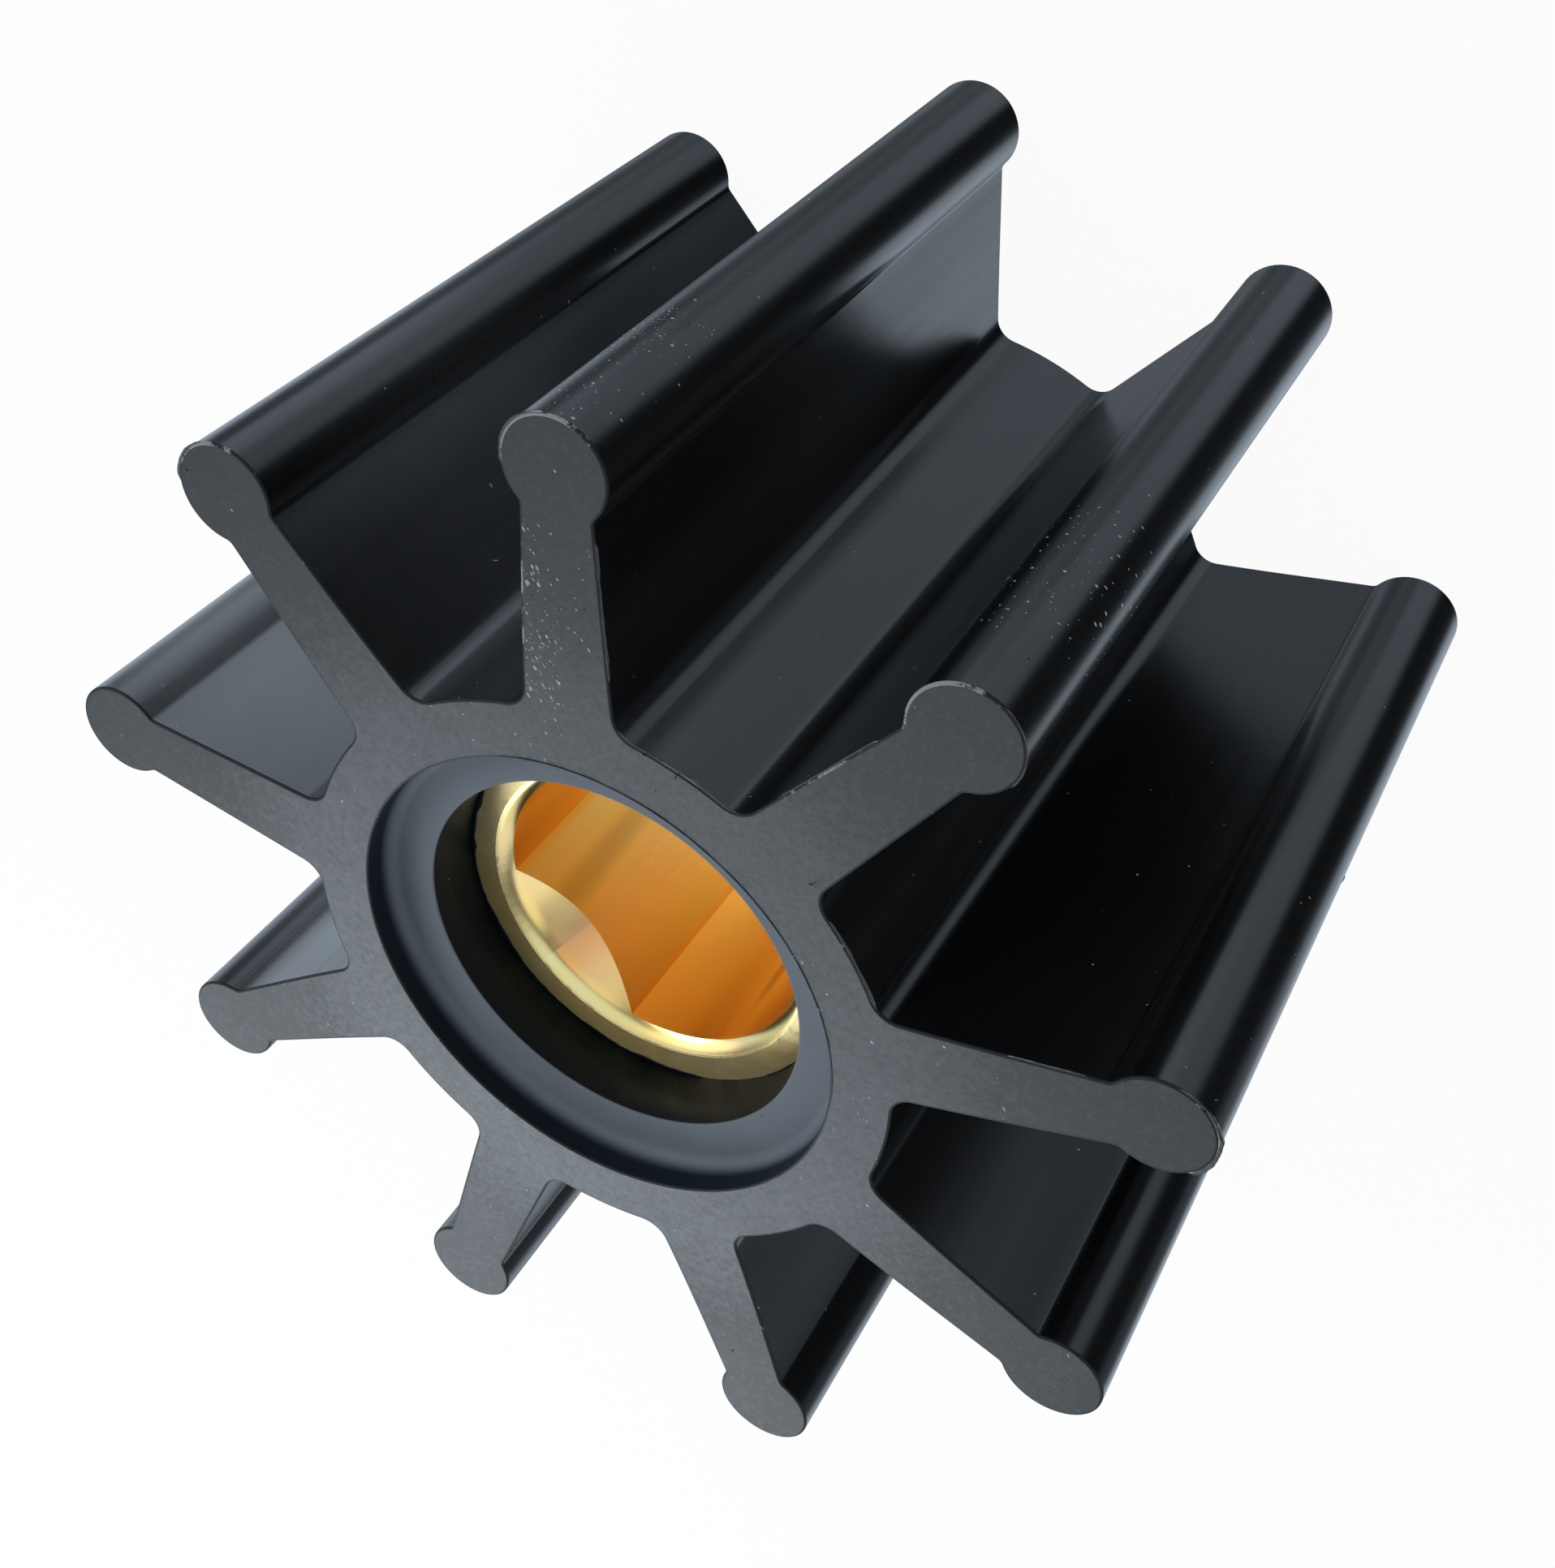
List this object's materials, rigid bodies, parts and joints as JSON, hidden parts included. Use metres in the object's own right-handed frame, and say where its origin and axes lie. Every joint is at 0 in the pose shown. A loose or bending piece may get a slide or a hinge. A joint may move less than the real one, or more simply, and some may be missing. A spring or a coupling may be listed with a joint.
{
  "type": "rubber pump impeller",
  "caption": "Flexible rubber impeller with round-headed vanes on a hub, bonded to a brass bush with a double-flat shaft bore.",
  "frame": {"origin": "on the shaft axis, at half the width of the impeller", "axes": "+Z along the shaft axis towards the front end face, +X along one vane"},
  "size_m": [0.0926, 0.0938, 0.0636],
  "materials": {
    "rubber": "satin",
    "brass": "machined"
  },
  "bodies": {
    "root": {"rubber_impeller": "rubber", "brass_insert": "brass"}
  },
  "joints": []
}
